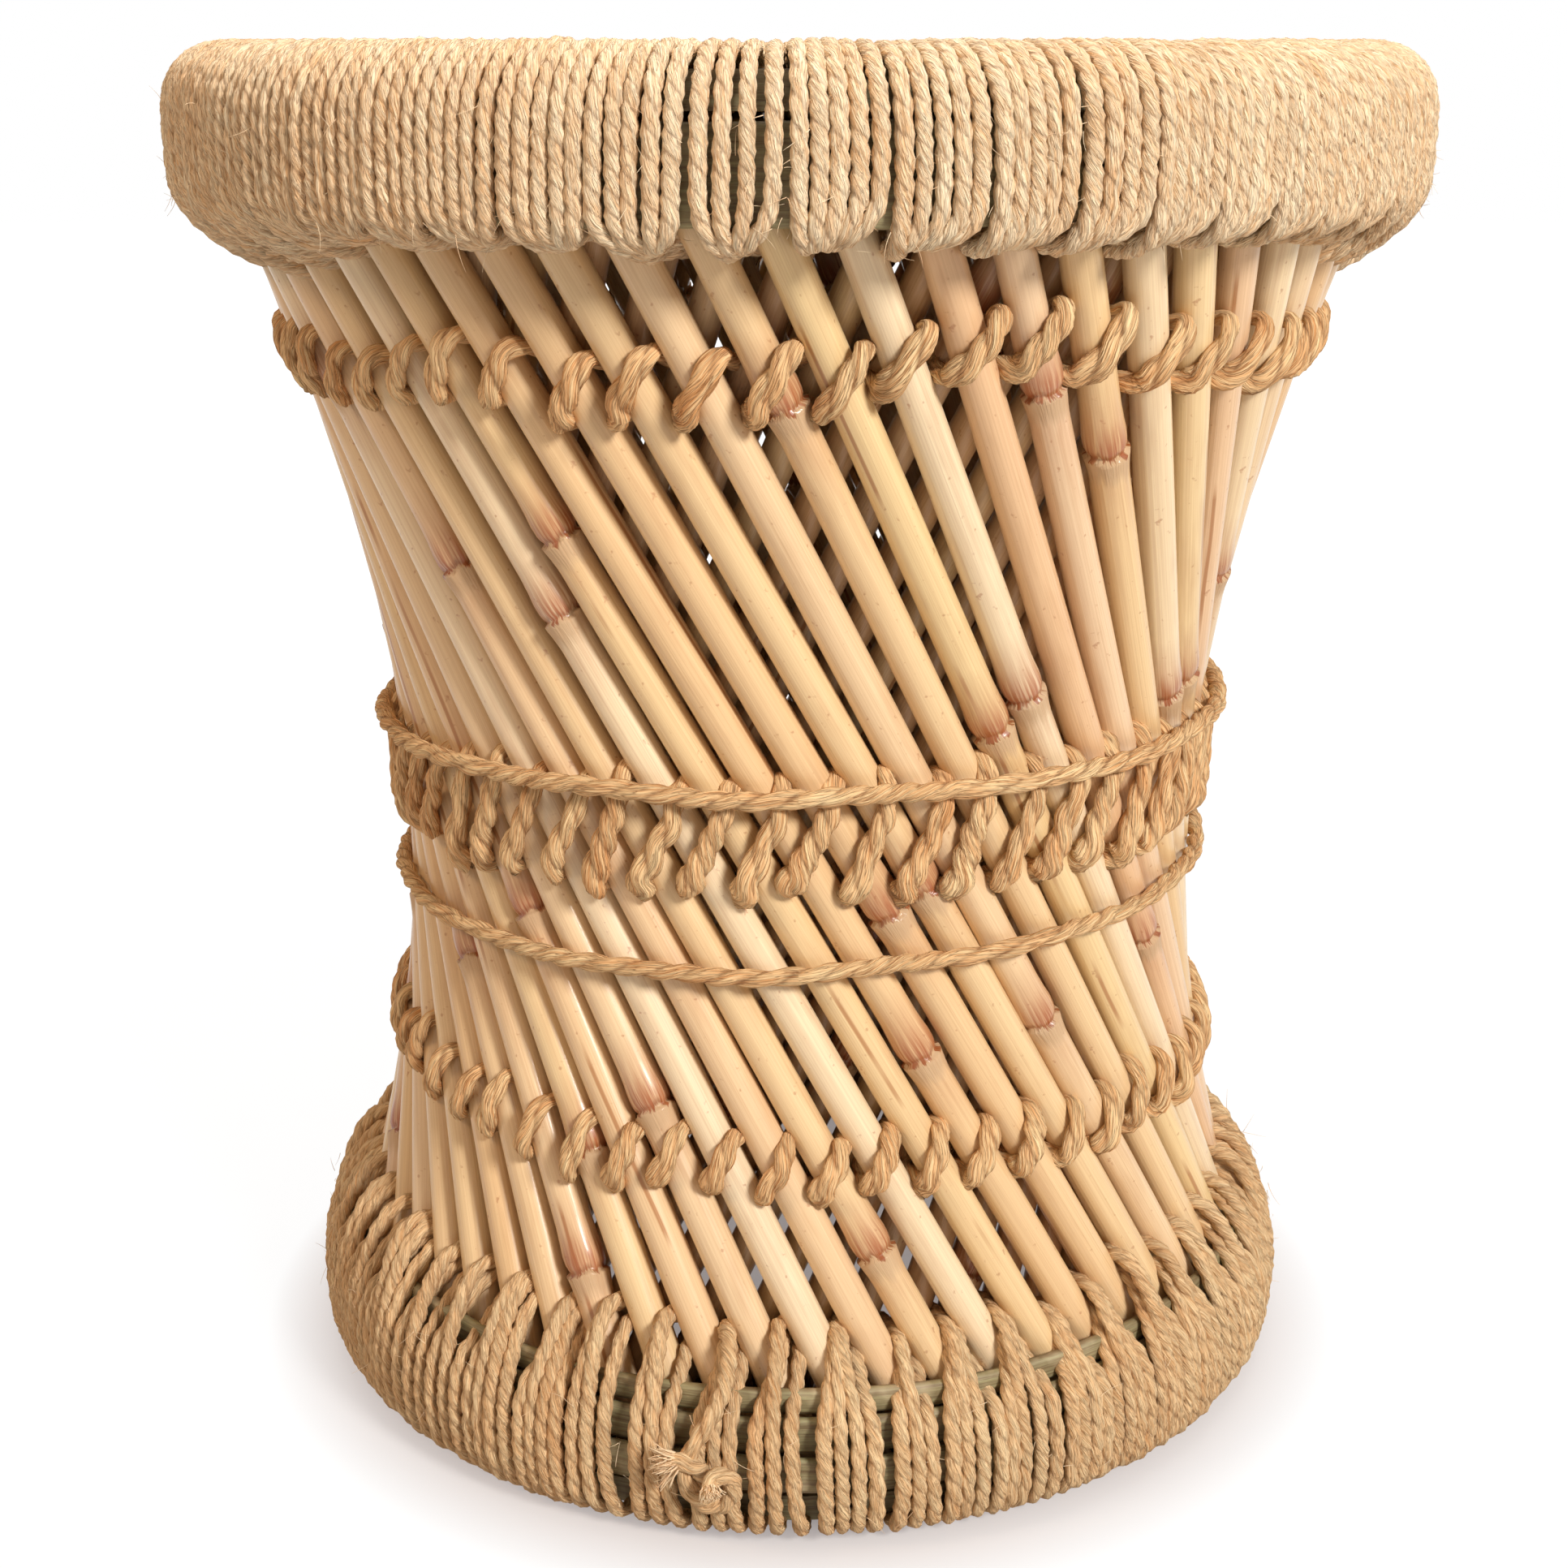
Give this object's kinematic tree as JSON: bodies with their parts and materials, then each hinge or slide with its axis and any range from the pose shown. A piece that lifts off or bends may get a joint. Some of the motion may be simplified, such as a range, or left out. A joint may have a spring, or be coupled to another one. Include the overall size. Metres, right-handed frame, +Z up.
{
  "type": "mudda stool",
  "caption": "Round hourglass stool of crossed canes lashed with twine, with rope-wrapped rings at the top and foot and a woven rope seat.",
  "frame": {"origin": "on the floor under the middle of the stool, at the bottom centre of its box", "axes": "+Z up along the stool's axis; -Y towards the front that the picture shows, with the knot of the base rope a little left of it; +X to the viewer's right"},
  "size_m": [0.4054, 0.4056, 0.45],
  "materials": {
    "cane": "satin straw-coloured reed, darker at the joints",
    "inner_cane": "satin reed, a shade darker than the outer layer",
    "split_hoop": "grey-green split bamboo, fine lengthwise grain",
    "rope": "twisted dry-grass rope, beige with brown strands",
    "twine": "hairy twisted twine, orange-brown",
    "seat_rope": "woven dry-grass rope"
  },
  "bodies": {
    "root": {"outer_canes_01": "cane", "inner_canes_01": "inner_cane", "outer_canes_02": "cane", "inner_canes_02": "inner_cane", "outer_canes_03": "cane", "inner_canes_03": "inner_cane", "outer_canes_04": "cane", "inner_canes_04": "inner_cane", "outer_canes_05": "cane", "inner_canes_05": "inner_cane", "outer_canes_06": "cane", "inner_canes_06": "inner_cane", "outer_canes_07": "cane", "inner_canes_07": "inner_cane", "outer_canes_08": "cane", "inner_canes_08": "inner_cane", "outer_canes_09": "cane", "inner_canes_09": "inner_cane", "outer_canes_10": "cane", "inner_canes_10": "inner_cane", "outer_canes_11": "cane", "inner_canes_11": "inner_cane", "outer_canes_12": "cane", "inner_canes_12": "inner_cane", "outer_canes_13": "cane", "inner_canes_13": "inner_cane", "outer_canes_14": "cane", "inner_canes_14": "inner_cane", "outer_canes_15": "cane", "inner_canes_15": "inner_cane", "outer_canes_16": "cane", "inner_canes_16": "inner_cane", "outer_canes_17": "cane", "inner_canes_17": "inner_cane", "outer_canes_18": "cane", "inner_canes_18": "inner_cane", "rim_hoop_upper": "split_hoop", "rim_hoop_lower": "split_hoop", "rim_hoop_inner": "split_hoop", "rim_cap_hoop": "split_hoop", "base_hoop_1": "split_hoop", "base_hoop_2": "split_hoop", "base_hoop_3": "split_hoop", "base_hoop_inner": "split_hoop", "base_foot_hoop": "split_hoop", "rim_rope_cover": "rope", "base_rope_cover": "rope", "base_rope_knot": "rope", "upper_lashing": "twine", "waist_band_upper": "twine", "waist_lashing": "twine", "waist_band_lower": "twine", "lower_lashing": "twine", "seat_web": "seat_rope"}
  },
  "joints": []
}
